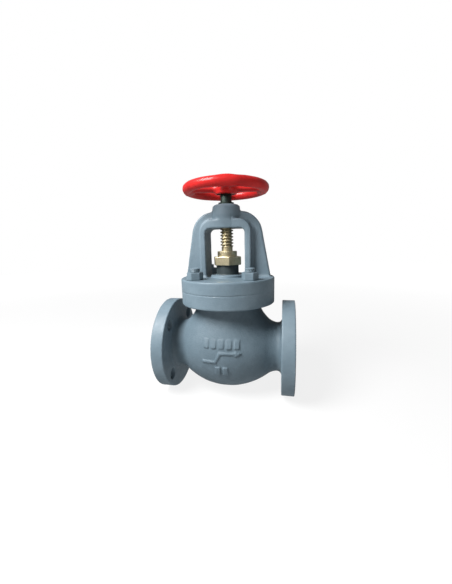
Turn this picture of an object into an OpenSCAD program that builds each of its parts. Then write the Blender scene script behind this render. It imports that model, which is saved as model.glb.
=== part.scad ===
// Flanged globe valve with an outside screw and yoke, rising handwheel, shown shut.
// Millimetres. Origin at the centre of the inlet flange's face, +X along the flow, +Z up the stem.

/* [Pipe flanges] */
// Length from the inlet face to the outlet face
face_to_face = 220; // [214:1:240]
// Outside diameter of each pipe flange
flange_d = 155; // [150:1:165]
// Thickness of each pipe flange
flange_t = 20; // [16:1:24]
// Diameter of the flow passage at each end
port_d = 50; // [44:1:52]
// Bolt circle of the pipe flanges
bolt_circle_d = 120; // [116:1:124]
// Bolt holes in each pipe flange
bolt_count = 4; // [4:4:8]
// Diameter of each bolt hole
bolt_hole_d = 19; // [15:1:20]
// Outside diameter of the pipe neck behind each flange
pipe_neck_d = 80; // [74:1:84]

/* [Body casting] */
// Outside radius of the belly at its middle
belly_r = 69; // [67:0.5:71]
// Half length of the belly, up to the pipe necks
belly_half = 74.4; // [73:0.2:76]
// Wall of the casting
wall = 10; // [8:1:11]
// Outside diameter of the neck under the bonnet flange
bonnet_neck_d = 105; // [103:1:110]
// Height of the underside of the body's bonnet flange above the flow axis
ring_bottom_z = 76; // [75:0.2:80]
// Height of the top of the body's bonnet flange
joint_z = 97.6; // [96:0.2:99]
// Outside diameter of the two bonnet flanges
ring_d = 154; // [150:1:156]
// Height that the flow mark stands out of the belly
mark_relief = 2; // [1:0.5:2.5]

/* [Bonnet and yoke] */
// Gap left between the two bonnet flanges when they are tight
joint_gap = 0.2; // [0.1:0.1:1]
// Height of the top of the bonnet flange
bonnet_top_z = 117.4; // [116:0.1:118]
// Height of the top of the raised disc round the stuffing box
pad_top_z = 121.5; // [120.5:0.5:122]
// Half width of the yoke window
window_half = 31.5; // [30:0.5:33]
// Height of the top of the yoke window
window_top_z = 196; // [190:1:198]
// Radius of the upper corners of the window
window_corner = 8; // [6:1:12]
// Thickness of the outer web of each arm
arm_web_t = 12; // [10:1:16]
// Depth of the band round the window
band_depth = 38; // [34:1:42]
// Width of that band beside the window
band_side = 10; // [8:1:11]
// Width of that band above the window
band_top = 14; // [12:1:15]
// Half width of the yoke at the foot of its arms
arm_foot_half = 70; // [68:1:71]
// Lean of the outer edge of each arm from upright
arm_lean = 10.5; // [9:0.5:11]
// Radius of the shoulder of each arm
shoulder_r = 36; // [34:1:37]
// Height at which the straight edge of an arm becomes its shoulder
shoulder_z = 193; // [191:1:195]
// Height of the widest part of the boss
boss_waist_z = 223; // [221:1:224]
// Height of the top of the boss
boss_top_z = 232.5; // [231.5:0.5:234]

/* [Bonnet fasteners] */
// Bolt circle of the bonnet studs
stud_circle_d = 121; // [119:1:123]
// Thread diameter of the bonnet studs
stud_d = 16; // [14:1:16]
// Width across the flats of their nuts
nut_af = 22; // [21:1:25]
// Height of their nuts
nut_h = 12; // [11:1:14]
// Length of stud that stands above each nut
stud_proud = 6; // [3:1:8]

/* [Stem and packing] */
// Outside diameter of the stem thread
thread_d = 21; // [19:0.5:22]
// Pitch of the stem thread
thread_pitch = 5; // [4:0.5:6]
// Diameter of the smooth stem
shank_d = 18; // [17:0.5:18]
// Lift of the disc from shut to open
lift = 15; // [10:1:15]
// Bore of the stuffing box
box_d = 28; // [27:0.5:29]
// Outside diameter of the stuffing box
box_neck_d = 37; // [35:0.5:37.5]
// Packing rings in the stuffing box
packing_count = 4; // [3:1:4]
// Height of one packing ring
packing_h = 4; // [3.5:0.5:4]
// Width across the flats of the gland nut
gland_af = 42; // [41:1:44]

/* [Handwheel] */
// Outside diameter of the handwheel
wheel_d = 136; // [120:1:150]
// Thickness of its round rim
rim_t = 15; // [12:1:16]
// Height of the middle of the rim when the valve is shut
rim_z = 256.5; // [255:0.5:260]
// Number of spokes
spoke_count = 4; // [3:1:5]
// Width of a spoke
spoke_w = 18; // [14:1:20]
// Thickness of a spoke
spoke_t = 8; // [6:1:10]
// Direction of the first spoke when the valve is shut
spoke_angle = 12.5; // [0:0.5:90]

/* [Hidden] */
$fn = 72;
e = 0.01;                                   // overlap that joins touching solids of one piece
fit = 0.05;                                 // radial clearance of pieces that are screwed or pressed together
clear = 0.3;                                // clearance of pieces that move past each other
half_length = face_to_face / 2;
port_r = port_d / 2;
pipe_neck_r = pipe_neck_d / 2;
flange_back_x = half_length - flange_t;

// Radius of the arc that falls by drop over the distance half, from its crown
function arch_r(half, drop) = (half * half + drop * drop) / (2 * drop);
inner_r = belly_r - wall;
outer_arc_r = arch_r(belly_half, belly_r - pipe_neck_r);
inner_arc_r = arch_r(belly_half, inner_r - port_r);

partition_top_z = 10;
partition_t = 12;
seat_screw_r = port_r + 5;
seat_flange_r = port_r + 9;
seat_z = partition_top_z + 3.5;
seat_boss_r = seat_flange_r + 4;

disc_r = seat_flange_r - 2;
disc_rim_h = 8;
disc_hub_r = 20;
disc_top_z = seat_z + 24;
head_r = 11;
head_h = 5;
head_bottom_z = seat_z + 9;
head_top_z = head_bottom_z + head_h;
disc_nut_r = head_r + 2.5;
disc_nut_h = 16;

chamber_r = bonnet_neck_d / 2 - wall - 2;
spigot_r = chamber_r - 0.5;
spigot_bottom_z = joint_z - 7;
gasket_inner_r = chamber_r + 1;
gasket_outer_r = gasket_inner_r + 8;
gasket_t = 1.6;
ring_edge = 2;
joint_edge = 0.3;
bonnet_bottom_z = joint_z + joint_gap;
bonnet_hollow_r = 34;
bonnet_hollow_top_z = spigot_bottom_z + 14;
bush_face_z = bonnet_hollow_top_z - 4;
bush_r = 15;
bush_top_z = bonnet_hollow_top_z + 12;
bush_mouth_r = shank_d / 2 + clear + 3;

box_throat_r = shank_d / 2 + 0.5;
box_bottom_z = pad_top_z + 4;
packing_z = box_bottom_z + 2;
gland_z = packing_z + packing_count * packing_h;
box_top_z = packing_z + packing_count * packing_h + 4;
gland_nut_z = pad_top_z + 16;
gland_hex_h = 13.4;
gland_collar_z = gland_nut_z + gland_hex_h;
gland_nut_top_z = gland_collar_z + 9;
gland_collar_r = 16;
gland_top_z = gland_nut_top_z - 5;
pad_r = 28;

shoulder_x = arm_foot_half - (shoulder_z - bonnet_top_z - 5) * tan(arm_lean);
shoulder_centre = [shoulder_x - shoulder_r * cos(arm_lean), shoulder_z - shoulder_r * sin(arm_lean)];
boss_waist_r = 22.6;
boss_shoulder_r = 21.8;
boss_top_r = 19;
boss_bottom_r = 17;
bush_seat_z = boss_top_z - 4;
yoke_bush_r = 13.5;
yoke_bush_head_r = 15.5;
yoke_bush_collar_r = 12.5;
yoke_bush_top_z = boss_top_z + 3.5;
yoke_screw_r = 3;
yoke_screw_z = boss_waist_z - 4;

thread_core_r = thread_d / 2 - 2.6;
thread_bottom_z = gland_nut_top_z + 6.6;
thread_top_z = yoke_bush_top_z - 0.5;
thread_turns = floor((thread_top_z - thread_bottom_z) / thread_pitch);
collar_r = 13;
collar_h = 5;
collar_z = bush_face_z + bush_mouth_r - collar_r - 0.5 - lift;   // top edge of the collar when shut

hub_r = 16;
hub_bottom_z = 249;
hub_top_z = 265;
square_w = 13;
stem_end_d = 12;
washer_t = 2;
wheel_nut_h = 9;
wheel_nut_af = 19;
stem_end_z = hub_top_z + washer_t + wheel_nut_h + 2;

iron_paint = [0.50, 0.58, 0.64];
brass = [0.72, 0.62, 0.36];
bronze = [0.62, 0.48, 0.28];
steel = [0.55, 0.56, 0.57];
wheel_red = [0.78, 0.08, 0.08];
graphite = [0.16, 0.16, 0.17];

STUD_ANGLES = [315, 225, 135, 45];
NUT_TURNS = [0, 22, 8, 47];
GLAND_NUT_TURN = 48.5;
MARK_COUNTS = [5, 2];                       // blocks in the upper and the lower row of marks

function numbered(name, count) = [for (i = [1:count]) str(name, "_", i)];

// ---- shapes used by several pieces ----

// Solid turned about Z from an outline of [radius, height] points
module turned(points) {
    rotate_extrude() polygon(points);
}

// Round plate with chamfered edges, low_edge at its bottom and edge at its top
module plate(d, bottom, top, edge, low_edge = 1) {
    r = d / 2;
    turned([[0, bottom], [r - low_edge, bottom], [r, bottom + low_edge],
            [r, top - edge], [r - edge, top], [0, top]]);
}

// Flat ring or sleeve
module ring(outer_r, inner_r, bottom, top) {
    turned([[inner_r, bottom], [outer_r, bottom], [outer_r, top], [inner_r, top]]);
}

// Hexagon across flats af, with the corners of its top face turned off
module hexagon(af, bottom, top) {
    corner_r = af / 2 / cos(30);
    intersection() {
        translate([0, 0, bottom]) cylinder(r = corner_r, h = top - bottom, $fn = 6);
        turned([[0, bottom], [corner_r + 1, bottom], [corner_r + 1, top - 1.5],
                [corner_r - 2, top], [0, top]]);
    }
}

// Plate of the given depth standing in the X-Z plane
module upright(depth) {
    rotate([90, 0, 0]) linear_extrude(depth, center = true) children();
}

// Turns a shape drawn about +Z to lie along +X
module along_x() {
    rotate([0, 90, 0]) children();
}

// Places children at the stud number i
module at_stud(i) {
    rotate([0, 0, STUD_ANGLES[i]]) translate([stud_circle_d / 2, 0, 0])
        rotate([0, 0, NUT_TURNS[i] - STUD_ANGLES[i]]) children();
}

// Holes on a circle round Z
module hole_circle(circle_d, count, d, bottom, top) {
    for (i = [0:count - 1])
        rotate([0, 0, (i + 0.5) * 360 / count])
            translate([circle_d / 2, 0, bottom]) cylinder(d = d, h = top - bottom);
}

// ---- body casting, cast in one and drawn as seven simple nodes that touch ----

// Round belly with its long axis along X, cut off where the pipe necks begin
module barrel(r, arc_r) {
    along_x() rotate_extrude() intersection() {
        translate([r - arc_r, 0]) circle(r = arc_r);
        translate([0, -belly_half]) square([r + 1, 2 * belly_half]);
    }
}

// Pipe flange with its neck and bolt holes, at the outlet end
module pipe_flange() {
    color(iron_paint) along_x() difference() {
        union() {
            plate(flange_d, flange_back_x, half_length, 1);
            turned([[0, belly_half], [pipe_neck_r, belly_half], [pipe_neck_r, flange_back_x - 5],
                    [pipe_neck_r + 5, flange_back_x + e], [0, flange_back_x + e]]);
        }
        translate([0, 0, belly_half - 1]) cylinder(r = port_r, h = half_length);
        hole_circle(bolt_circle_d, bolt_count, bolt_hole_d, flange_back_x - 1, half_length + 1);
    }
}

module inlet_flange() {
    rotate([0, 0, 180]) pipe_flange();
}

module outlet_flange() {
    pipe_flange();
}

// Marks cast on the front of the belly: a stepped flow arrow between two rows of plain blocks
module cast_marks() {
    rotate([90, 0, 0]) linear_extrude(belly_r + 10) {
        polygon([[-29, -7], [-7, -7], [0.5, 7], [22, 7], [22, 4.5], [32, 9],
                 [22, 13.5], [22, 11], [-2.5, 11], [-9.5, -3], [-29, -3]]);
        for (i = [0:MARK_COUNTS[0] - 1]) translate([-27 + 12 * i, 16]) square([8, 14]);
        for (i = [0:MARK_COUNTS[1] - 1]) translate([-9 + 12 * i, -27]) square([8, 14]);
    }
}

// S-shaped wall between the inlet and the outlet, pierced by the seat. Its two legs land on the
// belly's wall beside the lips of the ports, so that neither port cuts into them.
module partition() {
    bottom = partition_top_z - partition_t;
    leg = [[seat_boss_r + 3, partition_top_z], [belly_half - 0.5, -port_r - 1], [belly_half + 6, -port_r - 18],
           [belly_half - 12, -port_r - 18], [seat_boss_r - 2, bottom]];
    opposite = [for (p = leg) [-p[0], partition_top_z + bottom - p[1]]];
    color(iron_paint) difference() {
        intersection() {
            barrel(inner_r, inner_arc_r);
            union() {
                upright(2 * belly_r) polygon(concat(leg, opposite));
                translate([0, 0, bottom]) cylinder(r = seat_boss_r, h = partition_t);
            }
        }
        translate([0, 0, bottom - 1]) cylinder(r = seat_screw_r, h = partition_t + 2);
    }
}

// Wall of the belly above or below the flow axis, with the marks cast on it
module belly_wall(bottom_z) {
    color(iron_paint) difference() {
        intersection() {
            union() {
                barrel(belly_r, outer_arc_r);
                intersection() {
                    barrel(belly_r + mark_relief, outer_arc_r + mark_relief);
                    cast_marks();
                }
            }
            translate([-100, -100, bottom_z]) cube([200, 200, 100]);
        }
        barrel(inner_r, inner_arc_r);
        cylinder(r = chamber_r, h = joint_z);
    }
}

module belly_lower() {
    belly_wall(-100);
}

module belly_upper() {
    belly_wall(0);
}

// Round neck that stands on the belly, with a coned foot
module body_neck() {
    neck_r = bonnet_neck_d / 2;
    color(iron_paint) difference() {
        turned([[0, 20], [neck_r + 7, 20], [neck_r + 7, 34], [neck_r + 3.5, 46], [neck_r + 1, 58],
                [neck_r, ring_bottom_z - 5], [neck_r + 5, ring_bottom_z], [0, ring_bottom_z]]);
        barrel(belly_r, outer_arc_r);
        cylinder(r = chamber_r, h = joint_z);
    }
}

// Flange that carries the bonnet
module body_flange() {
    color(iron_paint) difference() {
        plate(ring_d, ring_bottom_z, joint_z, joint_edge, ring_edge);
        cylinder(r = chamber_r, h = joint_z + 1);
        ring(gasket_outer_r + 0.5, chamber_r - 1, bonnet_bottom_z - gasket_t, joint_z + 1);
        for (i = [0:3]) at_stud(i)
            translate([0, 0, ring_bottom_z + 3]) cylinder(d = stud_d, h = 30);
    }
}

module seat_ring() {
    color(bronze) turned([
        [port_r, partition_top_z - partition_t], [seat_screw_r - fit, partition_top_z - partition_t],
        [seat_screw_r - fit, partition_top_z], [seat_flange_r, partition_top_z],
        [seat_flange_r, seat_z - 1], [seat_flange_r - 1, seat_z], [port_r, seat_z]]);
}

// ---- bonnet casting, cast in one and drawn as bonnet, stuffing box and yoke ----

// Outline of the yoke from the front, both arms and the bridge over the window
module yoke_outline() {
    steps = 10;
    arc = [for (i = [0:steps]) let (a = arm_lean + (90 - arm_lean) * i / steps)
        shoulder_centre + shoulder_r * [cos(a), sin(a)]];
    right = concat([[arm_foot_half + 3, bonnet_top_z], [arm_foot_half + 1, bonnet_top_z + 2],
                    [arm_foot_half, bonnet_top_z + 5]], arc);
    left = [for (i = [len(right) - 1:-1:0]) [-right[i][0], right[i][1]]];
    polygon(concat(right, left));
}

// Outline of the window from foot_z up, grown by side and above
module window_outline(foot_z, side, above) {
    half = window_half + side;
    top = window_top_z + above;
    corner = window_corner + (side + above) / 2;
    steps = 6;
    arc = [for (i = [0:steps]) let (a = 90 * i / steps)
        [half - corner + corner * cos(a), top - corner + corner * sin(a)]];
    left = [for (i = [steps:-1:0]) [-arc[i][0], arc[i][1]]];
    polygon(concat([[half, foot_z]], arc, left, [[-half, foot_z]]));
}

// Two T-shaped arms and the bridge between them, with the boss of the yoke bush
module yoke() {
    color(iron_paint) difference() {
        union() {
            upright(arm_web_t) yoke_outline();
            upright(band_depth) window_outline(bonnet_top_z, band_side, band_top);
            turned([[0, window_top_z], [boss_bottom_r, window_top_z], [boss_waist_r, boss_waist_z - 6],
                    [boss_waist_r, boss_waist_z], [boss_shoulder_r, boss_top_z - 2.5],
                    [boss_top_r, boss_top_z], [0, boss_top_z]]);
        }
        upright(2 * band_depth) window_outline(bonnet_top_z - 1, 0, 0);
        translate([0, 0, window_top_z - 5]) cylinder(r = yoke_bush_r, h = 60);
        translate([0, 0, bush_seat_z]) cylinder(r = yoke_bush_head_r, h = 20);
        yoke_screw_hole();
    }
}

module bonnet() {
    color(iron_paint) difference() {
        union() {
            plate(ring_d, bonnet_bottom_z, bonnet_top_z, ring_edge, joint_edge);
            translate([0, 0, spigot_bottom_z]) cylinder(r = spigot_r, h = 12);
            translate([0, 0, bonnet_bottom_z]) cylinder(r = pad_r, h = pad_top_z - bonnet_bottom_z);
        }
        cylinder(r = bonnet_hollow_r, h = bonnet_hollow_top_z);
        cylinder(r = bush_r, h = bush_top_z);
        cylinder(r = box_throat_r, h = box_top_z);
        for (i = [0:3]) at_stud(i) translate([0, 0, 80]) cylinder(d = stud_d + 2, h = 60);
    }
}

module stuffing_box() {
    color(iron_paint) turned([
        [box_throat_r, pad_top_z], [box_neck_d / 2, pad_top_z], [box_neck_d / 2, box_top_z],
        [box_d / 2, box_top_z], [box_d / 2, box_bottom_z], [box_throat_r, box_bottom_z]]);
}

// Threaded hole through the back of the boss for the grub screw
module yoke_screw_hole() {
    translate([0, yoke_bush_r - 2, yoke_screw_z]) rotate([-90, 0, 0])
        cylinder(r = yoke_screw_r, h = 20);
}

module bonnet_gasket() {
    color(graphite) ring(gasket_outer_r, gasket_inner_r, bonnet_bottom_z - gasket_t, bonnet_bottom_z);
}

module bonnet_stud(i) {
    top = bonnet_top_z + nut_h + stud_proud;
    color(iron_paint) at_stud(i) plate(stud_d - 2 * fit, ring_bottom_z + 4, top, 1);
}

module bonnet_nut(i) {
    color(iron_paint) at_stud(i) difference() {
        hexagon(nut_af, bonnet_top_z, bonnet_top_z + nut_h);
        cylinder(d = stud_d, h = 200);
    }
}

module back_seat_bush() {
    bore_r = shank_d / 2 + clear;
    color(bronze) turned([
        [bush_mouth_r, bush_face_z], [bush_r + 5, bush_face_z], [bush_r + 5, bonnet_hollow_top_z],
        [bush_r - fit, bonnet_hollow_top_z], [bush_r - fit, bush_top_z], [bore_r, bush_top_z],
        [bore_r, bush_face_z + bush_mouth_r - bore_r]]);
}

// ---- stuffing box ----

module packing_washer() {
    color(brass) ring(box_d / 2 - fit, shank_d / 2 + 2 * fit, box_bottom_z, packing_z);
}

module packing_ring(i) {
    bottom = packing_z + (i - 1) * packing_h;
    color(graphite) ring(box_d / 2 - fit, shank_d / 2 + fit, bottom, bottom + packing_h);
}

module gland() {
    color(brass) ring(box_d / 2 - 2 * fit, shank_d / 2 + 2 * fit, gland_z, gland_top_z);
}

module gland_nut() {
    color(brass) difference() {
        union() {
            rotate([0, 0, GLAND_NUT_TURN]) hexagon(gland_af, gland_nut_z, gland_collar_z);
            plate(2 * gland_collar_r, gland_collar_z - 1, gland_nut_top_z, 1);
        }
        ring(box_neck_d / 2 + fit, 0, gland_nut_z - 1, box_top_z + 1);
        cylinder(r = box_d / 2 + fit, h = gland_top_z);
        cylinder(r = shank_d / 2 + clear, h = 200);
    }
}

// ---- yoke bush ----

module yoke_bush() {
    bore_r = thread_d / 2 + clear;
    color(brass) difference() {
        union() {
            ring(yoke_bush_r - fit, bore_r, window_top_z, bush_seat_z + 1);
            ring(yoke_bush_head_r - fit, bore_r, bush_seat_z, boss_top_z);
            ring(yoke_bush_collar_r, bore_r, boss_top_z - 1, yoke_bush_top_z);
        }
        yoke_screw_hole();
    }
}

module yoke_bush_screw() {
    color(steel) translate([0, yoke_bush_r - 2, yoke_screw_z]) rotate([-90, 0, 0])
        cylinder(r = yoke_screw_r - fit, h = 8);
}

// ---- disc assembly ----

module disc() {
    color(bronze) difference() {
        turned([[0, seat_z], [disc_r - 2, seat_z], [disc_r, seat_z + 2], [disc_r, seat_z + disc_rim_h],
                [disc_hub_r, seat_z + disc_rim_h + 3], [disc_hub_r, disc_top_z - 1],
                [disc_hub_r - 1, disc_top_z], [0, disc_top_z]]);
        translate([0, 0, head_bottom_z - clear]) cylinder(r = disc_nut_r, h = 40);
        lock_screw_hole();
    }
}

module lock_screw_hole() {
    translate([disc_nut_r - 2, 0, disc_top_z - 5]) along_x() cylinder(r = 2.5, h = 20);
}

module disc_nut() {
    bottom = head_top_z + clear;
    color(bronze) difference() {
        union() {
            ring(disc_nut_r - fit, shank_d / 2 + clear, bottom, disc_top_z + 1);
            difference() {
                hexagon(30, disc_top_z, bottom + disc_nut_h);
                cylinder(r = shank_d / 2 + clear, h = 200);
            }
        }
        lock_screw_hole();
    }
}

module disc_lock_screw() {
    color(steel) translate([disc_nut_r - 2, 0, disc_top_z - 5]) along_x()
        cylinder(r = 2.5 - fit, h = disc_hub_r - disc_nut_r + 2);
}

// ---- stem assembly ----

// Outline of the stem's thread: one crest for each turn between the core and the outside
function thread_points() = [for (i = [0:thread_turns - 1]) let (z = thread_bottom_z + i * thread_pitch)
    each [[thread_core_r, z + 0.1 * thread_pitch], [thread_d / 2, z + 0.3 * thread_pitch],
          [thread_d / 2, z + 0.65 * thread_pitch], [thread_core_r, z + 0.85 * thread_pitch]]];

module stem() {
    shank_r = shank_d / 2;
    square_z = hub_bottom_z + 2;
    square_top_z = hub_top_z - 2;
    color(brass) union() {
        turned(concat(
            [[0, head_bottom_z], [head_r - 1, head_bottom_z], [head_r, head_bottom_z + 1],
             [head_r, head_top_z], [shank_r, head_top_z],
             [shank_r, collar_z - collar_h - collar_r + shank_r], [collar_r, collar_z - collar_h],
             [collar_r, collar_z], [shank_r, collar_z + collar_r - shank_r], [shank_r, thread_bottom_z]],
            thread_points(),
            [[thread_core_r, thread_top_z - 1], [shank_r, thread_top_z], [shank_r, square_z], [0, square_z]]));
        translate([-square_w / 2, -square_w / 2, square_z - 1])
            cube([square_w, square_w, square_top_z - square_z + 1]);
        turned([[0, square_top_z - 1], [stem_end_d / 2, square_top_z - 1],
                [stem_end_d / 2, stem_end_z - 1], [stem_end_d / 2 - 1, stem_end_z], [0, stem_end_z]]);
    }
}

module spoke(angle) {
    reach = wheel_d / 2 - rim_t / 2;
    side = (spoke_w - spoke_t) / 2;
    rotate([0, 0, angle]) translate([0, 0, rim_z]) {
        translate([0, -side, -spoke_t / 2]) cube([reach, 2 * side, spoke_t]);
        for (y = [-side, side]) translate([0, y, 0]) along_x() cylinder(d = spoke_t, h = reach);
    }
}

module handwheel() {
    tube_r = rim_t / 2;
    color(wheel_red) difference() {
        union() {
            rotate_extrude() translate([wheel_d / 2 - tube_r, rim_z]) circle(r = tube_r);
            for (i = [0:spoke_count - 1]) spoke(spoke_angle + i * 360 / spoke_count);
            plate(2 * hub_r, hub_bottom_z, hub_top_z, 1.5);
        }
        translate([-square_w / 2 - fit, -square_w / 2 - fit, hub_bottom_z - 1])
            cube([square_w + 2 * fit, square_w + 2 * fit, 40]);
        cylinder(r = shank_d / 2 + fit, h = hub_bottom_z + 2);
    }
}

module wheel_washer() {
    color(steel) ring(12, stem_end_d / 2 + 2 * fit, hub_top_z, hub_top_z + washer_t);
}

module wheel_nut() {
    color(steel) difference() {
        hexagon(wheel_nut_af, hub_top_z + washer_t, hub_top_z + washer_t + wheel_nut_h);
        cylinder(r = stem_end_d / 2 + fit, h = 400);
    }
}

// ---- the whole valve, with its origin at the inlet flange's face ----

translate([half_length, 0, 0]) {
    belly_lower();
    belly_upper();
    body_neck();
    body_flange();
    inlet_flange();
    outlet_flange();
    partition();
    seat_ring();
    bonnet();
    stuffing_box();
    yoke();
    bonnet_gasket();
    for (i = [0:3]) {
        bonnet_stud(i);
        bonnet_nut(i);
    }
    back_seat_bush();
    packing_washer();
    for (i = [1:packing_count])
        packing_ring(i);
    gland();
    gland_nut();
    yoke_bush();
    yoke_bush_screw();
    disc();
    disc_nut();
    disc_lock_screw();
    stem();
    handwheel();
    wheel_washer();
    wheel_nut();
}
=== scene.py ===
"""Looks of the flanged globe valve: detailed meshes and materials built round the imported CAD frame.

Each detailed piece is written as a distance formula (negative inside the metal), meshed on a grid and
drawn on to the formula's surface, so that cast walls blend into each other with real fillets.
Formulas work in millimetres from the crossing of the flow axis and the stem axis, +X along the flow.
"""
import math

import bpy
import numpy as np
from mathutils import Matrix, Vector


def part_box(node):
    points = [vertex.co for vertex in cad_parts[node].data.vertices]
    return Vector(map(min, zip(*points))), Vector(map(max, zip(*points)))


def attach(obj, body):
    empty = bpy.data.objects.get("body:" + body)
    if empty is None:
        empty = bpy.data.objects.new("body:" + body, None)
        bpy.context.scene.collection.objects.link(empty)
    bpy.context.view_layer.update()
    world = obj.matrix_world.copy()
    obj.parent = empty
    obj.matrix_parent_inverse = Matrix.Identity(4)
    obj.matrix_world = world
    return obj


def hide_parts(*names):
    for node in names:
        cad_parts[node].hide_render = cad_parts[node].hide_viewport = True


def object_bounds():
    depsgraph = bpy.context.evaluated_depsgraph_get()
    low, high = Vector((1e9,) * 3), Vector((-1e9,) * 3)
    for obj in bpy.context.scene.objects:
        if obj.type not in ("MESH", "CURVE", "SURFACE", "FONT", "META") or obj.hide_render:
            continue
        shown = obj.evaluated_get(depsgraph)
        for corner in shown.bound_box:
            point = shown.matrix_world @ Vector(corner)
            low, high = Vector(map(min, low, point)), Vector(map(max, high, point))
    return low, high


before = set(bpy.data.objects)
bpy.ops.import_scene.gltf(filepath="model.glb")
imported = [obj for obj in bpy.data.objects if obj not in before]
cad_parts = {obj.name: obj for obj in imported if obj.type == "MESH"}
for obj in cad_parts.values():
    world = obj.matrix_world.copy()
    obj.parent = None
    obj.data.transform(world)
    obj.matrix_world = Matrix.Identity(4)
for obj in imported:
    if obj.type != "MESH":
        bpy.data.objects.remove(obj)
cad_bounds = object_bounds()

# ---------------------------------------------------------------- sizes, read from the frame
MM = 0.001
AXIS_X = sum(corner.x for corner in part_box("stem")) / 2


def node_box(node):
    """Lowest and highest corner of a CAD node, in millimetres from the centre of the valve."""
    centre = Vector((AXIS_X, 0, 0))
    return tuple((corner - centre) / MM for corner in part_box(node))


inlet_low = node_box("inlet_flange")[0]
outlet_low, outlet_high = node_box("outlet_flange")
ring_low, ring_high = node_box("body_flange")
bonnet_low, bonnet_high = node_box("bonnet")
box_low, box_high = node_box("stuffing_box")
yoke_low, yoke_high = node_box("yoke")
gland_nut_low, gland_nut_high = node_box("gland_nut")
stem_low, stem_high = node_box("stem")
wheel_low, wheel_high = node_box("handwheel")
nut_low, nut_high = node_box("bonnet_nut_1")
stud_low, stud_high = node_box("bonnet_stud_1")

HALF_LENGTH = outlet_high.x
FLANGE_R = outlet_high.y
FLANGE_T = 20
PORT_R = 25
PIPE_R = 40
BELLY_R = 69
BELLY_HALF = outlet_low.x
WALL = 10
NECK_R = 52.5
CHAMBER_R = NECK_R - WALL - 2
RING_R = bonnet_high.y
RING_BOTTOM = ring_low.z
JOINT_Z = ring_high.z
BOLT_OFFSET = 120 / 2 / math.sqrt(2)
BOLT_R = 9.5

SPIGOT_BOTTOM = bonnet_low.z
JOINT_GAP = 0.2
BONNET_BOTTOM = JOINT_Z + JOINT_GAP
BONNET_TOP = yoke_low.z
PAD_TOP = box_low.z
BOSS_TOP = yoke_high.z
WINDOW_HALF = 31.5
WINDOW_TOP = 196
BOX_NECK_R = box_high.x
BOX_R = 14
BOX_TOP = box_high.z
SHANK_R = 9
BUSH_R = 13.5
BUSH_HEAD_R = 15.5

STUD_R = (stud_high.x - stud_low.x) / 2
STUD_OFFSET = (stud_high.x + stud_low.x) / 2
NUT_AF = nut_high.y - nut_low.y
NUT_TURNS = {1: 0, 2: 22, 3: 8, 4: 47}
NUT_SIDES = {1: (1, -1), 2: (-1, -1), 3: (-1, 1), 4: (1, 1)}

WHEEL_R = (wheel_high.x - wheel_low.x) / 2


# Grid steps of the meshes, finer where the piece has finer edges
CASTING_STEP = 1.3
WHEEL_STEP = 1.1
TURNED_STEP = 0.7
SMALL_STEP = 0.6


# ---------------------------------------------------------------- distance formulas
def length(*parts):
    return np.sqrt(sum(p * p for p in parts))


def joined(a, b, blend=0.0):
    """Union with a fillet about as wide as blend."""
    if blend <= 0:
        return np.minimum(a, b)
    share = np.clip(0.5 + 0.5 * (b - a) / blend, 0, 1)
    return b + (a - b) * share - blend * share * (1 - share)


def common(a, b, blend=0.0):
    return -joined(-a, -b, blend)


def cut(a, b, blend=0.0):
    """a with b taken away, the edge rounded by about blend."""
    return common(a, -b, blend)


def slab(u, v, half_u, half_v, edge):
    """Rectangle |u| < half_u, |v| < half_v with corners of radius edge."""
    du = np.abs(u) - half_u + edge
    dv = np.abs(v) - half_v + edge
    return length(np.maximum(du, 0), np.maximum(dv, 0)) + np.minimum(np.maximum(du, dv), 0) - edge


def puck(radial, along, radius, low, high, edge):
    """Round plate or bar from low to high along its axis."""
    return slab(radial, along - (low + high) / 2, radius, (high - low) / 2, edge)


def thick(flat, along, half, edge):
    """A flat outline's distance given the thickness 2 * half."""
    du = flat + edge
    dv = np.abs(along) - half + edge
    return length(np.maximum(du, 0), np.maximum(dv, 0)) + np.minimum(np.maximum(du, dv), 0) - edge


def barrel(x, from_flow, radius, end_radius):
    """Belly round the flow axis: radius at its middle, end_radius where the pipe necks begin."""
    drop = radius - end_radius
    arc_r = (BELLY_HALF ** 2 + drop ** 2) / (2 * drop)
    return length(x, from_flow + arc_r - radius) - arc_r


def outline(u, v, points):
    """Signed distance to a closed outline of (u, v) points."""
    nearest = np.float32(1e12)
    sign = np.float32(1)
    for (ax, ay), (bx, by) in zip(points, points[1:] + points[:1]):
        ex, ey = bx - ax, by - ay
        wx, wy = u - ax, v - ay
        share = np.clip((wx * ex + wy * ey) / (ex * ex + ey * ey), 0, 1)
        nearest = np.minimum(nearest, (wx - ex * share) ** 2 + (wy - ey * share) ** 2)
        above, below, left = v >= ay, v < by, ex * wy > ey * wx
        flip = (above & below & left) | ~(above | below | left)
        sign = np.where(flip, -sign, sign)
    return sign * np.sqrt(nearest)


def hexagon(x, y, across_flats, turn):
    """Signed distance to a hexagon whose first corner points at turn degrees."""
    sides = [math.radians(turn + 30 + 60 * i) for i in range(3)]
    return np.maximum.reduce([np.abs(x * math.cos(a) + y * math.sin(a)) for a in sides]) - across_flats / 2


def unevenness(x, y, z, size, amplitude):
    """Slight swell of a sand-cast skin, from a few crossing waves."""
    draw = np.random.default_rng(7)
    total = 0
    for _ in range(7):
        way = draw.normal(size=3)
        way *= draw.uniform(0.7, 1.8) / size / np.linalg.norm(way)
        total = total + np.sin(2 * math.pi * (x * way[0] + y * way[1] + z * way[2]) + draw.uniform(0, 6))
    return total * amplitude / 3


# ---------------------------------------------------------------- from formula to mesh
CORNERS = [(i, j, k) for i in (0, 1) for j in (0, 1) for k in (0, 1)]
EDGES = [(a, b) for a in CORNERS for b in CORNERS
         if sum(b) - sum(a) == 1 and all(q >= p for p, q in zip(a, b))]


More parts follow.
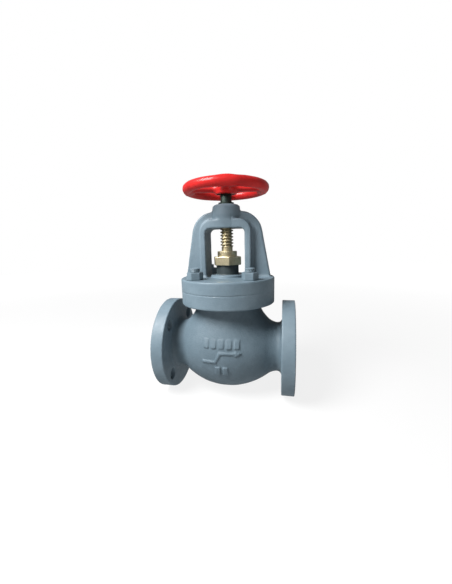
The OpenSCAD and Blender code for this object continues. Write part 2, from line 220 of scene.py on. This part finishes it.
def surface_net(formula, low, high, step):
    """Vertices and quads of formula(x, y, z) = 0, one vertex for each grid cell that it passes through."""
    lines = [np.arange(a - 1.5 * step, b + 2.5 * step, step, dtype=np.float32) for a, b in zip(low, high)]
    grid = np.meshgrid(*lines, indexing="ij", sparse=True)
    field = np.broadcast_to(formula(*grid), [len(line) for line in lines]).astype(np.float32)
    inside = field < 0
    cells = tuple(n - 1 for n in field.shape)

    def corner(values, c):
        return values[c[0]:c[0] + cells[0], c[1]:c[1] + cells[1], c[2]:c[2] + cells[2]]

    count = sum(corner(inside, c).astype(np.int8) for c in CORNERS)
    crossed = np.argwhere((count > 0) & (count < 8))
    number = np.full(cells, -1, np.int32)
    number[tuple(crossed.T)] = np.arange(len(crossed))

    total = np.zeros((len(crossed), 3))
    hits = np.zeros(len(crossed))
    for a, b in EDGES:
        fa = field[tuple((crossed + a).T)]
        fb = field[tuple((crossed + b).T)]
        hit = (fa < 0) != (fb < 0)
        share = np.where(hit, fa / np.where(hit, fa - fb, 1), 0)
        total += hit[:, None] * (np.array(a) + share[:, None] * (np.array(b) - np.array(a)))
        hits += hit
    origin = np.array([line[0] for line in lines])
    points = origin + step * (crossed + total / hits[:, None])

    quads = []
    for axis in range(3):
        u, v = [np.eye(3, dtype=int)[(axis + i) % 3] for i in (1, 2)]
        along = np.eye(3, dtype=int)[axis]
        near = inside[tuple(slice(1, n - along[i]) for i, n in enumerate(cells))]
        far = inside[tuple(slice(1 + along[i], n) for i, n in enumerate(cells))]
        for leaving in (True, False):
            starts = np.argwhere(near & ~far if leaving else ~near & far) + 1
            ring = [starts, starts - u, starts - u - v, starts - v]
            if leaving:
                ring.reverse()
            quads.append(np.stack([number[tuple(r.T)] for r in ring], axis=1))
    return points, np.concatenate(quads)[:, ::-1]


def slope(formula, points, reach):
    """Gradient of the formula at each point."""
    parts = []
    for axis in range(3):
        shift = np.zeros(3)
        shift[axis] = reach
        parts.append((formula(*(points + shift).T) - formula(*(points - shift).T)) / (2 * reach))
    return np.stack(parts, axis=1)


def settled(formula, points, step, rounds=3):
    """Points moved on to the formula's surface, each at most half a cell away from its start."""
    start = points.copy()
    for _ in range(rounds):
        gradient = slope(formula, points, step * 0.1)
        steep = np.maximum((gradient ** 2).sum(1), 0.2)
        points = points - gradient * (formula(*points.T) / steep)[:, None]
        points = start + np.clip(points - start, -0.6 * step, 0.6 * step)
    return points


def sculpt(name, formula, box, step, body, nodes, materials, pick=None):
    """One detailed piece in place of CAD nodes, held inside box, the nodes' own box.

    pick(centres, normals) gives each face the number of its material.
    """
    points, quads = surface_net(formula, *box, step)
    points = np.clip(settled(formula, points, step), *box)
    mesh = bpy.data.meshes.new(name)
    mesh.from_pydata((points * MM + (AXIS_X, 0, 0)).tolist(), [], quads.tolist())
    mesh.shade_smooth()
    for material in materials:
        mesh.materials.append(material)
    if pick:
        loops = points[quads]
        centres = loops.mean(1)
        normals = np.cross(loops[:, 2] - loops[:, 0], loops[:, 3] - loops[:, 1])
        normals /= np.maximum(np.linalg.norm(normals, axis=1, keepdims=True), 1e-9)
        mesh.polygons.foreach_set("material_index", pick(centres, normals).astype(np.int32))
    mesh.update()
    piece = bpy.data.objects.new(name, mesh)
    bpy.context.scene.collection.objects.link(piece)
    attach(piece, body)
    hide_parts(*nodes)
    return piece


def turned(name, profile, steps=192, closed=True):
    """Surface of revolution round the stem axis from (radius, height) points in metres."""
    turns = np.linspace(0, 2 * math.pi, steps, endpoint=False)
    points = [(AXIS_X + r * math.cos(a), r * math.sin(a), z) for r, z in profile for a in turns]
    rows = len(profile)
    faces = [(row * steps + i, row * steps + (i + 1) % steps,
              (row + 1) % rows * steps + (i + 1) % steps, (row + 1) % rows * steps + i)
             for row in range(rows if closed else rows - 1) for i in range(steps)]
    mesh = bpy.data.meshes.new(name)
    mesh.from_pydata(points, [], faces)
    piece = bpy.data.objects.new(name, mesh)
    bpy.context.scene.collection.objects.link(piece)
    return piece


# ---------------------------------------------------------------- materials
def new_material(name):
    """A material with its tree, its Principled node and a shortcut that adds nodes."""
    material = bpy.data.materials.new(name)
    material.use_nodes = True
    tree = material.node_tree
    shader = tree.nodes["Principled BSDF"]

    def add(kind, inputs=None, **settings):
        made = tree.nodes.new(kind)
        for key, value in settings.items():
            setattr(made, key, value)
        for key, value in (inputs or {}).items():
            if isinstance(value, bpy.types.NodeSocket):
                tree.links.new(value, made.inputs[key])
            else:
                made.inputs[key].default_value = value
        return made

    return material, tree, shader, add


def grain(add, place, scale, detail=4.0, roughness=0.6):
    """Noise of the given scale per metre."""
    made = add("ShaderNodeTexNoise",
               {"Vector": place, "Scale": scale, "Detail": detail, "Roughness": roughness})
    return made.outputs["Fac"]


def ramp(add, value, low, high, to_low=0.0, to_high=1.0):
    """value mapped from low..high to to_low..to_high, and held there outside."""
    made = add("ShaderNodeMapRange", {"Value": value, "From Min": low, "From Max": high,
                                      "To Min": to_low, "To Max": to_high})
    return made.outputs["Result"]


def colour_mix(add, share, first, second):
    made = add("ShaderNodeMix", data_type="RGBA")
    tree = made.id_data
    for socket, value in ((made.inputs[0], share), (made.inputs[6], first), (made.inputs[7], second)):
        if isinstance(value, bpy.types.NodeSocket):
            tree.links.new(value, socket)
        else:
            socket.default_value = value
    return made.outputs[2]


def added(add, first, second, weight):
    """first + weight * second."""
    made = add("ShaderNodeMath", {0: second, 1: weight, 2: first}, operation="MULTIPLY_ADD")
    return made.outputs[0]


def bumps(add, height, distance, strength=1.0):
    made = add("ShaderNodeBump", {"Height": height, "Distance": distance, "Strength": strength})
    return made.outputs["Normal"]


def cast_paint(name, base, shade, rough, sandiness):
    """Satin paint over iron: pits and grains of the mould's sand, and faint blotches in the colour."""
    material, tree, shader, add = new_material(name)
    place = add("ShaderNodeTexCoord").outputs["Object"]
    blotch = grain(add, place, 28, 3)
    dirt = grain(add, place, 160, 5, 0.7)
    tone = added(add, ramp(add, blotch, 0.35, 0.65), ramp(add, dirt, 0.4, 0.7), 0.45)
    colour = colour_mix(add, tone, base, shade)
    tree.links.new(colour, shader.inputs["Base Color"])
    tree.links.new(ramp(add, dirt, 0.3, 0.7, rough - 0.06, rough + 0.1), shader.inputs["Roughness"])
    sand = grain(add, place, 1500, 3, 0.6)
    pits = ramp(add, grain(add, place, 520, 2, 0.5), 0.35, 0.6)
    height = added(add, sand, pits, 0.6)
    tree.links.new(bumps(add, height, 0.00022, sandiness), shader.inputs["Normal"])
    shader.inputs["Specular IOR Level"].default_value = 0.32
    return material


def red_enamel():
    """Thick glossy enamel with a slight orange peel."""
    material, tree, shader, add = new_material("red_enamel")
    place = add("ShaderNodeTexCoord").outputs["Object"]
    tone = ramp(add, grain(add, place, 40, 3), 0.35, 0.65)
    tree.links.new(colour_mix(add, tone, (0.39, 0.013, 0.012, 1), (0.32, 0.010, 0.010, 1)),
                   shader.inputs["Base Color"])
    peel = grain(add, place, 260, 2, 0.4)
    tree.links.new(bumps(add, peel, 0.0002, 0.35), shader.inputs["Normal"])
    tree.links.new(ramp(add, grain(add, place, 90, 3), 0.3, 0.7, 0.30, 0.40), shader.inputs["Roughness"])
    shader.inputs["Specular IOR Level"].default_value = 0.15
    shader.inputs["Coat Weight"].default_value = 0.10
    shader.inputs["Coat Roughness"].default_value = 0.15
    return material


def turned_metal(name, base, worn, rough, ring_scale=900, axis="Z"):
    """Bare metal with fine turning marks round the given axis and a slight tarnish."""
    material, tree, shader, add = new_material(name)
    place = add("ShaderNodeTexCoord").outputs["Object"]
    rings = add("ShaderNodeTexWave", {"Vector": place, "Scale": ring_scale, "Distortion": 1.2, "Detail": 2.0,
                                      "Detail Scale": 0.6}, wave_type="BANDS", bands_direction=axis)
    tarnish = ramp(add, grain(add, place, 120, 4, 0.65), 0.35, 0.7)
    tree.links.new(colour_mix(add, tarnish, base, worn), shader.inputs["Base Color"])
    tree.links.new(ramp(add, tarnish, 0, 1, rough, rough + 0.16), shader.inputs["Roughness"])
    tree.links.new(bumps(add, rings.outputs["Fac"], 0.00006, 0.5), shader.inputs["Normal"])
    shader.inputs["Metallic"].default_value = 1.0
    return material


def braid(name, base, shade):
    """Graphited square braid of the packing."""
    material, tree, shader, add = new_material(name)
    place = add("ShaderNodeTexCoord").outputs["Object"]
    strands = add("ShaderNodeTexVoronoi", {"Vector": place, "Scale": 700})
    tree.links.new(colour_mix(add, strands.outputs["Distance"], base, shade), shader.inputs["Base Color"])
    tree.links.new(bumps(add, strands.outputs["Distance"], 0.0004, 0.8), shader.inputs["Normal"])
    shader.inputs["Roughness"].default_value = 0.6
    return material


casting = cast_paint("casting_paint", (0.106, 0.147, 0.176, 1), (0.085, 0.122, 0.148, 1), 0.52, 1.0)
smooth_casting = cast_paint("smooth_casting_paint", (0.128, 0.174, 0.206, 1), (0.106, 0.149, 0.179, 1),
                            0.46, 0.45)
fastener_paint = cast_paint("fastener_paint", (0.128, 0.173, 0.204, 1), (0.098, 0.140, 0.168, 1),
                            0.44, 0.45)
# Near-black bare iron for the stuffing box neck: partly its own dark iron, partly painted shade under the
# gland nut and yoke.
dark_iron_painted_shade = cast_paint("dark_iron_painted_shade", (0.040, 0.054, 0.057, 1), (0.026, 0.034, 0.036, 1), 0.45, 0.5)
machined_iron = turned_metal("machined_iron", (0.42, 0.42, 0.41, 1), (0.30, 0.28, 0.26, 1), 0.30, 500, "X")
enamel = red_enamel()
brass = turned_metal("brass", (0.56, 0.49, 0.33, 1), (0.34, 0.30, 0.19, 1), 0.38)
# Near-black brass for the stem end above the yoke and the yoke bush: tarnish, darkened further as painted
# shade under the handwheel.
tarnish_shade_brass = turned_metal("tarnish_and_shade_brass", (0.050, 0.066, 0.056, 1), (0.030, 0.042, 0.038, 1), 0.42)
bronze = turned_metal("bronze", (0.60, 0.40, 0.22, 1), (0.42, 0.28, 0.16, 1), 0.28)
zinc = turned_metal("zinc_plate", (0.60, 0.61, 0.62, 1), (0.45, 0.46, 0.48, 1), 0.28)
packing = braid("graphite_braid", (0.020, 0.020, 0.022, 1), (0.075, 0.075, 0.080, 1))
sheet_gasket = cast_paint("gasket_sheet", (0.050, 0.052, 0.052, 1), (0.035, 0.036, 0.036, 1), 0.7, 0.4)


# ---------------------------------------------------------------- body casting
def cast_marks(x, z):
    """Stepped flow arrow between two rows of plain raised blocks."""
    arrow = outline(x, z, [(-29, -7), (-7, -7), (0.5, 7), (22, 7), (22, 4.5), (32, 9),
                           (22, 13.5), (22, 11), (-2.5, 11), (-9.5, -3), (-29, -3)])
    upper = [slab(x + 23 - 12 * i, z - 23, 4, 7, 1.5) for i in range(5)]
    lower = [slab(x + 5 - 12 * i, z + 20, 4, 7, 1.5) for i in range(2)]
    return np.minimum.reduce([arrow, *upper, *lower])


def body_shape(x, y, z):
    from_flow = length(y, z)
    from_stem = length(x, y)
    side = np.abs(x)
    belly = barrel(x, from_flow, BELLY_R, PIPE_R)
    pipe = puck(from_flow, x, PIPE_R, -HALF_LENGTH + 5, HALF_LENGTH - 5, 1)
    skin = joined(belly, pipe, 7)
    skin = joined(skin, puck(from_stem, z, NECK_R, 0, RING_BOTTOM + 4, 1), 22)
    skin = joined(skin, puck(from_flow, side, FLANGE_R, HALF_LENGTH - FLANGE_T, HALF_LENGTH + 1, 1.2), 9)
    skin = joined(skin, puck(from_stem, z, RING_R, RING_BOTTOM, JOINT_Z + 2, 1.8), 8)
    mark = common(cast_marks(x, z), belly - 1.9, 0.8)
    skin = joined(skin, np.maximum(mark, y + 40), 1.0)
    skin = skin + unevenness(x, y, z, 26, 0.10)
    skin = np.maximum(skin, side - HALF_LENGTH)
    skin = np.maximum(skin, z - JOINT_Z)

    leg = [(41, 10), (BELLY_HALF - 0.5, -PORT_R - 1), (BELLY_HALF + 6, -PORT_R - 18),
           (BELLY_HALF - 12, -PORT_R - 18), (36, -2)]
    wall = outline(x, z, leg + [(-u, 8 - v) for u, v in leg])
    hollow = np.maximum(barrel(x, from_flow, BELLY_R - WALL, PORT_R), side - BELLY_HALF)
    room = joined(hollow, puck(from_stem, z, CHAMBER_R, 0, JOINT_Z + 9, 0.5), 3)
    room = cut(room, joined(wall, puck(from_stem, z, 38, -2, 10, 1), 2), 3)
    room = joined(room, np.maximum(from_flow - PORT_R, BELLY_HALF - 1 - side), 1)
    room = np.minimum(room, puck(from_stem, z, 30, -5, 25, 0.5))
    skin = cut(skin, room, 0.8)
    bolts = length(np.abs(y) - BOLT_OFFSET, np.abs(z) - BOLT_OFFSET) - BOLT_R
    skin = cut(skin, np.maximum(bolts, HALF_LENGTH - FLANGE_T - 8 - side), 0.8)
    studs = length(side - STUD_OFFSET, np.abs(y) - STUD_OFFSET) - STUD_R - 0.1
    return cut(skin, np.maximum(studs, RING_BOTTOM + 3 - z), 0.3)


def pick_body_finish(centres, normals):
    """Rough skin on the belly (0), bare flange and joint faces (1), smooth paint on turned flanges (2)."""
    x, y, z = centres.T
    faced = (np.abs(x) > HALF_LENGTH - 0.4) & (np.abs(normals[:, 0]) > 0.8)
    joint = (z > JOINT_Z - 0.4) & (normals[:, 2] > 0.8)
    on_flange = np.abs(x) > HALF_LENGTH - FLANGE_T - 0.5
    on_ring = (z > RING_BOTTOM - 0.5) & (length(x, y) > NECK_R + 8)
    return np.where(faced | joint, 1, np.where(on_flange | on_ring, 2, 0))


body_box = (inlet_low, Vector((HALF_LENGTH, FLANGE_R, JOINT_Z)))
sculpt("body_casting", body_shape, body_box, CASTING_STEP, "valve_body",
       ["belly_lower", "belly_upper", "body_neck", "body_flange",
        "inlet_flange", "outlet_flange", "partition"],
       [casting, machined_iron, smooth_casting], pick_body_finish)


# ---------------------------------------------------------------- bonnet casting
ARM_LEAN = math.radians(10.5)
ARM_FOOT = 70
SHOULDER_R = 36
SHOULDER_Z = 193
WEB_HALF = 6
BAND_SIDE = 10
BAND_TOP = 14
BAND_HALF = 19
PAD_R = 28
HOLLOW_R = 34
BACK_BUSH_R = 15
THROAT_R = SHANK_R + 0.5
GRUB_Z = 219
GRUB_R = 3
SEAM_X = 11.5
SEAM_Z = 205


def arc(centre, radius, first, last, steps):
    """Points on an arc, angles in radians."""
    return [(centre[0] + radius * math.cos(a), centre[1] + radius * math.sin(a))
            for a in np.linspace(first, last, steps)]


def mirrored(half):
    """Closed outline from the points of its right half."""
    return half + [(-u, v) for u, v in reversed(half)]


shoulder_x = ARM_FOOT - (SHOULDER_Z - PAD_TOP - 1) * math.tan(ARM_LEAN)
shoulder = (shoulder_x - SHOULDER_R * math.cos(ARM_LEAN), SHOULDER_Z - SHOULDER_R * math.sin(ARM_LEAN))
YOKE = mirrored([(ARM_FOOT + 1, BONNET_TOP - 6), (ARM_FOOT, PAD_TOP + 1),
                 *arc(shoulder, SHOULDER_R, ARM_LEAN, math.pi / 2, 12)])


def window(x, z, side, above):
    """Outline of the yoke's window, grown by side and above."""
    half = WINDOW_HALF + side
    top = WINDOW_TOP + above
    corner = 8 + (side + above) / 2
    low = BONNET_TOP - 20
    return slab(x, z - (top + low) / 2, half, (top - low) / 2, corner)


def bonnet_shape(x, y, z):
    from_stem = length(x, y)
    disc = puck(from_stem, z, RING_R, BONNET_BOTTOM - 3, BONNET_TOP, 1.8)
    web = thick(outline(x, z, YOKE), y, WEB_HALF, 2.5)
    band = thick(window(x, z, BAND_SIDE, BAND_TOP), y, BAND_HALF, 2.5)
    arms = np.maximum(joined(web, band, 5), BONNET_TOP - 6 - z)
    boss = outline(from_stem, z, [(0, 190), (16, 190), (17, 196), (22.6, 217), (22.6, 223),
                                  (21.8, BOSS_TOP - 2.5), (19, BOSS_TOP), (0, BOSS_TOP)])
    arms = joined(arms, boss, 4)
    hole = thick(window(x, z, 0, 0), y, 60, 1)
    arms = cut(arms, hole, 2.5)
    skin = joined(disc, arms, 6)
    skin = joined(skin, puck(from_stem, z, PAD_R, BONNET_TOP - 5, PAD_TOP, 0.8), 2)
    skin = skin + unevenness(x, y, z, 22, 0.10)
    skin = joined(skin, puck(from_stem, z, BOX_NECK_R, 100, BOX_TOP, 0.6), 2)
    skin = np.maximum(skin, z - BOSS_TOP)
    skin = np.maximum(skin, BONNET_BOTTOM - z)
    skin = joined(skin, puck(from_stem, z, CHAMBER_R - 0.5, SPIGOT_BOTTOM, BONNET_BOTTOM + 5, 0.6))
    bore = puck(from_stem, z, HOLLOW_R, 80, SPIGOT_BOTTOM + 14, 1.5)
    bore = joined(bore, puck(from_stem, z, BACK_BUSH_R, 90, SPIGOT_BOTTOM + 26, 0.3))
    bore = joined(bore, puck(from_stem, z, THROAT_R, 90, 140, 0.3))
    bore = joined(bore, puck(from_stem, z, BOX_R, PAD_TOP + 4, 160, 0.3))
    bore = joined(bore, puck(from_stem, z, BUSH_R, 190, 260, 0.3))
    bore = joined(bore, puck(from_stem, z, BUSH_HEAD_R, BOSS_TOP - 4, 260, 0.3))
    skin = cut(skin, bore, 0.5)
    studs = length(np.abs(x) - STUD_OFFSET, np.abs(y) - STUD_OFFSET) - STUD_R - 1
    skin = cut(skin, np.maximum(studs, z - BONNET_TOP - 3), 0.3)
    screw = length(x, z - GRUB_Z) - GRUB_R
    skin = cut(skin, np.maximum(screw, 12 - y), 0.4)
    parting = np.maximum(slab(x - SEAM_X, z - SEAM_Z, 0.6, 12, 0.4), y + 10)
    return cut(skin, np.maximum(parting, -skin - 0.7), 0.3)


def pick_bonnet_paint_and_shade(centres, normals):
    """The stuffing box neck (1) is bare iron, its near-black colour partly painted shade under the gland
    nut.
    """
    x, y, z = centres.T
    return (length(x, y) < BOX_NECK_R + 0.6) & (z > PAD_TOP + 0.8) & (z < BOX_TOP + 1)


bonnet_box = (bonnet_low, Vector((RING_R, RING_R, BOSS_TOP)))
sculpt("bonnet_casting", bonnet_shape, bonnet_box, CASTING_STEP, "valve_body",
       ["bonnet", "stuffing_box", "yoke"],
       [smooth_casting, dark_iron_painted_shade], pick_bonnet_paint_and_shade)

# A bead of paint fills the joint between the two castings, all but a hair line.
BEAD_DEPTH = 3
BEAD_SUNK = 0.12
BEAD_REACH = 0.9
bead_in, bead_out = (RING_R - BEAD_DEPTH) * MM, (RING_R - BEAD_SUNK) * MM
bead_low, bead_high = (JOINT_Z - BEAD_REACH) * MM, (BONNET_BOTTOM + BEAD_REACH) * MM
bead_section = [(bead_in, bead_low), (bead_out, bead_low), (bead_out, bead_high), (bead_in, bead_high)]
paint_bead = turned("joint_paint", bead_section)
paint_bead.data.materials.append(smooth_casting)
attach(paint_bead, "valve_body")


# ---------------------------------------------------------------- handwheel
TUBE_R = 7.5
RIM_Z = 256.5
HUB_R = 16
HUB_LOW = 249
HUB_HIGH = 265
SPOKE_COUNT = 4
SPOKE_ANGLE = 12.5
SPOKE_HALF_T = 4.7
SQUARE_HALF = 6.5
SHANK_TOP = 251
SLACK = 0.05


def wheel_shape(x, y, z):
    from_stem = length(x, y)
    rim = length(from_stem - (WHEEL_R - TUBE_R), z - RIM_Z) - TUBE_R
    arms = np.float32(1e3)
    for i in range(SPOKE_COUNT):
        a = math.radians(SPOKE_ANGLE + 360 / SPOKE_COUNT * i)
        out = x * math.cos(a) + y * math.sin(a)
        across = -x * math.sin(a) + y * math.cos(a)
        half_w = 8.0 + 1.2 * np.clip((out - 30) / 25, -1, 1) ** 2
        level = z - (256.4 + 0.012 * out)
        bar = (length(across / half_w, level / SPOKE_HALF_T) - 1) * SPOKE_HALF_T
        arms = np.minimum(arms, np.maximum(bar, np.maximum(-out, out - WHEEL_R + TUBE_R)))
    hub = puck(from_stem, z, HUB_R, HUB_LOW, HUB_HIGH, 1.8)
    skin = joined(joined(arms, hub, 7), rim, 7)
    skin = skin + unevenness(x, y, z, 24, 0.06)
    shaft = np.maximum(np.abs(x), np.abs(y)) - (SQUARE_HALF + SLACK)
    shaft = joined(shaft, puck(from_stem, z, SHANK_R + SLACK, 240, SHANK_TOP, 0.1))
    return cut(skin, shaft, 0.4)


sculpt("red_handwheel", wheel_shape, (wheel_low, wheel_high), WHEEL_STEP, "stem_assembly", ["handwheel"],
       [enamel])


# ---------------------------------------------------------------- stem
PITCH = 5
THREAD_LOW = 166
THREAD_HIGH = 235.5
THREAD_CORE_R = 7.9
THREAD_DEPTH = 2.6


def thread_radius(x, y, z, core, depth, pitch):
    """Radius of a right-hand trapezoid thread at each point."""
    turn = np.arctan2(y, x) / (2 * math.pi)
    phase = (z / pitch - turn) % 1
    from_crest = np.abs(phase - 0.5) * 2
    return core + depth * np.clip((0.62 - from_crest) / 0.26, 0, 1)


def stem_shape(x, y, z):
    r = length(x, y)
    bar = outline(r, z, [(-1, 22.5), (10, 22.5), (11, 23.5), (11, 27.5), (SHANK_R, 27.5),
                         (SHANK_R, 75.4), (13, 79.4), (13, 84.4), (SHANK_R, 88.4), (SHANK_R, THREAD_LOW),
                         (THREAD_CORE_R, THREAD_LOW + 1.5), (THREAD_CORE_R, THREAD_HIGH - 1.5),
                         (SHANK_R, THREAD_HIGH), (SHANK_R, SHANK_TOP), (-1, SHANK_TOP)])
    flanks = r - thread_radius(x, y, z, THREAD_CORE_R, THREAD_DEPTH, PITCH)
    ends = np.abs(z - (THREAD_LOW + THREAD_HIGH) / 2) - (THREAD_HIGH - THREAD_LOW) / 2
    screw = np.maximum(flanks, ends)
    run_out = r - SHANK_R - np.minimum(z - THREAD_LOW, THREAD_HIGH - z) * 0.6
    skin = joined(bar, np.maximum(screw * 0.6, run_out))
    square = np.maximum(slab(x, y, SQUARE_HALF, SQUARE_HALF, 0.8), np.abs(z - 256) - 7)
    end = outline(r, z, [(-1, 262), (6, 262), (6, stem_high.z - 1), (5, stem_high.z), (-1, stem_high.z)])
    return np.minimum(np.minimum(skin, square), end)


def pick_tarnish_and_shade(centres, normals):
    """The end above the yoke is never wiped by the packing and has gone dull; its near-black colour is also
    painted shade under the handwheel.
    """
    return centres[:, 2] > THREAD_HIGH


sculpt("threaded_stem", stem_shape, (stem_low, stem_high), TURNED_STEP, "stem_assembly", ["stem"],
       [brass, tarnish_shade_brass], pick_tarnish_and_shade)


# ---------------------------------------------------------------- nuts and studs
def hex_nut(x, y, z, across_flats, low, high, bore, turn, edge=0.5):
    """Hexagon nut with the corners turned off at both ends."""
    r = length(x, y)
    corner = across_flats / 2 / math.cos(math.radians(30))
    block = common(hexagon(x, y, across_flats, turn), np.abs(z - (low + high) / 2) - (high - low) / 2, edge)
    drop = 0.55
    crown = (r - corner + 1.0) * drop + np.abs(z - (low + high) / 2) - (high - low) / 2
    return cut(common(block, crown, 0.3), r - bore, 0.5)


GLAND_AF = 42
GLAND_TURN = 48.5
GLAND_HEX_H = 13.4
GLAND_COLLAR_R = 16


def gland_nut_shape(x, y, z):
    r = length(x, y)
    low, high = gland_nut_low.z, gland_nut_high.z
    collar_z = low + GLAND_HEX_H
    nut = hex_nut(x, y, z, GLAND_AF, low, collar_z, 5, GLAND_TURN, 0.4)
    skin = joined(nut, puck(r, z, GLAND_COLLAR_R, collar_z - 3, high, 1.0), 1.0)
    bore = puck(r, z, BOX_NECK_R + 0.1, low - 5, BOX_TOP + 1, 0.3)
    bore = joined(bore, puck(r, z, BOX_R + 0.1, low, high - 5, 0.3))
    bore = joined(bore, r - 9.4)
    return cut(skin, bore, 0.4)


sculpt("brass_gland_nut", gland_nut_shape, (gland_nut_low, gland_nut_high), TURNED_STEP, "valve_body",
       ["gland_nut"], [brass])

for i, (sx, sy) in NUT_SIDES.items():
    cx, cy = sx * STUD_OFFSET, sy * STUD_OFFSET

    def nut_shape(x, y, z):
        return hex_nut(x - cx, y - cy, z, NUT_AF, nut_low.z, nut_high.z, STUD_R + 0.1, NUT_TURNS[i])

    def stud_shape(x, y, z):
        r = length(x - cx, y - cy)
        bar = puck(r, z, STUD_R, stud_low.z, stud_high.z, 1.2)
        groove = thread_radius(x - cx, y - cy, z, STUD_R - 0.7, 1.0, 2)
        return np.maximum(bar, np.where(z > nut_high.z - 3, r - groove, -1))

    sculpt(f"bonnet_nut_painted_{i}", nut_shape, node_box(f"bonnet_nut_{i}"), TURNED_STEP, "valve_body",
           [f"bonnet_nut_{i}"], [fastener_paint])
    sculpt(f"bonnet_stud_painted_{i}", stud_shape, node_box(f"bonnet_stud_{i}"), SMALL_STEP, "valve_body",
           [f"bonnet_stud_{i}"], [fastener_paint])

top_nut_low, top_nut_high = node_box("wheel_nut")
WHEEL_NUT_AF = 19
WHEEL_NUT_BORE_R = 6.1
sculpt("wheel_nut_plated",
       lambda x, y, z: hex_nut(x, y, z, WHEEL_NUT_AF, top_nut_low.z, top_nut_high.z, WHEEL_NUT_BORE_R, 0),
       (top_nut_low, top_nut_high), SMALL_STEP, "stem_assembly", ["wheel_nut"], [zinc])


# ---------------------------------------------------------------- CAD nodes that keep their own shape
KEPT = {
    bronze: ["seat_ring", "disc", "disc_nut", "back_seat_bush"],
    brass: ["packing_washer", "gland"],
    # The yoke bush collar under the handwheel takes the same near-black brass, partly painted shade.
    tarnish_shade_brass: ["yoke_bush"],
    zinc: ["yoke_bush_screw", "disc_lock_screw", "wheel_washer"],
    packing: [f"packing_ring_{i}" for i in range(1, 5)],
    sheet_gasket: ["bonnet_gasket"],
}
for material, nodes in KEPT.items():
    for node in nodes:
        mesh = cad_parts[node].data
        mesh.materials.clear()
        mesh.materials.append(material)


# ---------------------------------------------------------------- stage, light and camera
def stage():
    """White floor, and a round white backdrop with a roof that lights nothing."""
    centre_r = 0.001
    floor_r = 3.2
    wall_height = 6.0
    floor_z = cad_bounds[0].z
    floor = turned("floor", [(r, floor_z) for r in (centre_r, 0.3, 0.8, 1.6, floor_r)], closed=False)
    roof_z = floor_z + wall_height
    wall = turned("backdrop", [(floor_r, floor_z), (floor_r, roof_z), (centre_r, roof_z)], closed=False)
    material, tree, shader, add = new_material("floor_paper")
    shader.inputs["Base Color"].default_value = (0.11, 0.11, 0.11, 1)
    shader.inputs["Roughness"].default_value = 0.9
    shader.inputs["Specular IOR Level"].default_value = 0.0
    shader.inputs["Emission Color"].default_value = (1, 1, 1, 1)
    place = add("ShaderNodeTexCoord").outputs["Object"]
    reach = add("ShaderNodeVectorMath", {0: place}, operation="LENGTH").outputs["Value"]
    tree.links.new(ramp(add, reach, 0.5, 1.8, 0.84, 1.0), shader.inputs["Emission Strength"])
    floor.data.materials.append(material)
    floor.visible_glossy = False
    material, tree, shader, add = new_material("backdrop_paper")
    shader.inputs["Base Color"].default_value = (0, 0, 0, 1)
    shader.inputs["Specular IOR Level"].default_value = 0.0
    shader.inputs["Emission Color"].default_value = (1, 1, 1, 1)
    shader.inputs["Emission Strength"].default_value = 1.0
    wall.data.materials.append(material)
    wall.visible_diffuse = False
    wall.visible_glossy = False
    wall.visible_shadow = False


def softbox(azimuth, elevation, distance, size, irradiance):
    """Round soft key light. Azimuth is measured from straight in front towards the right."""
    side, rise = math.radians(azimuth), math.radians(elevation)
    to_light = Vector((math.sin(side) * math.cos(rise), -math.cos(side) * math.cos(rise), math.sin(rise)))
    data = bpy.data.lights.new("key", "AREA")
    data.shape = "DISK"
    data.size = size
    data.energy = irradiance * math.pi * distance ** 2
    lamp = bpy.data.objects.new("key", data)
    lamp.location = Vector((AXIS_X, 0, 0.08)) + distance * to_light
    lamp.rotation_euler = to_light.to_track_quat("Z", "Y").to_euler()
    bpy.context.scene.collection.objects.link(lamp)


def place_camera():
    """Close camera, right of the stem axis and a little above the flow axis."""
    azimuth, elevation, roll = (math.radians(a) for a in (12.5, 9.9, -1.45))
    distance = 0.450
    back = Vector((math.sin(azimuth) * math.cos(elevation), -math.cos(azimuth) * math.cos(elevation),
                   math.sin(elevation)))
    level = Vector((math.cos(azimuth), math.sin(azimuth), 0))
    up = back.cross(level)
    right = level * math.cos(roll) + up * math.sin(roll)
    top = up * math.cos(roll) - level * math.sin(roll)
    target = Vector((AXIS_X, 0, 0.09135)) + level * -0.0037
    data = bpy.data.cameras.new("camera")
    data.lens = 16.37
    data.sensor_width = 36
    camera = bpy.data.objects.new("camera", data)
    turn = Matrix((right, top, back)).transposed().to_4x4()
    camera.matrix_world = Matrix.Translation(target + back * distance) @ turn
    bpy.context.scene.collection.objects.link(camera)
    bpy.context.scene.camera = camera


stage()
softbox(azimuth=-42.5, elevation=45, distance=1.0, size=0.55, irradiance=8.2)
world = bpy.data.worlds.new("studio")
world.use_nodes = True
world.node_tree.nodes["Background"].inputs["Color"].default_value = (1, 1, 1, 1)
world.node_tree.nodes["Background"].inputs["Strength"].default_value = 0.26
bpy.context.scene.world = world
bpy.context.scene.view_settings.view_transform = "Standard"
place_camera()
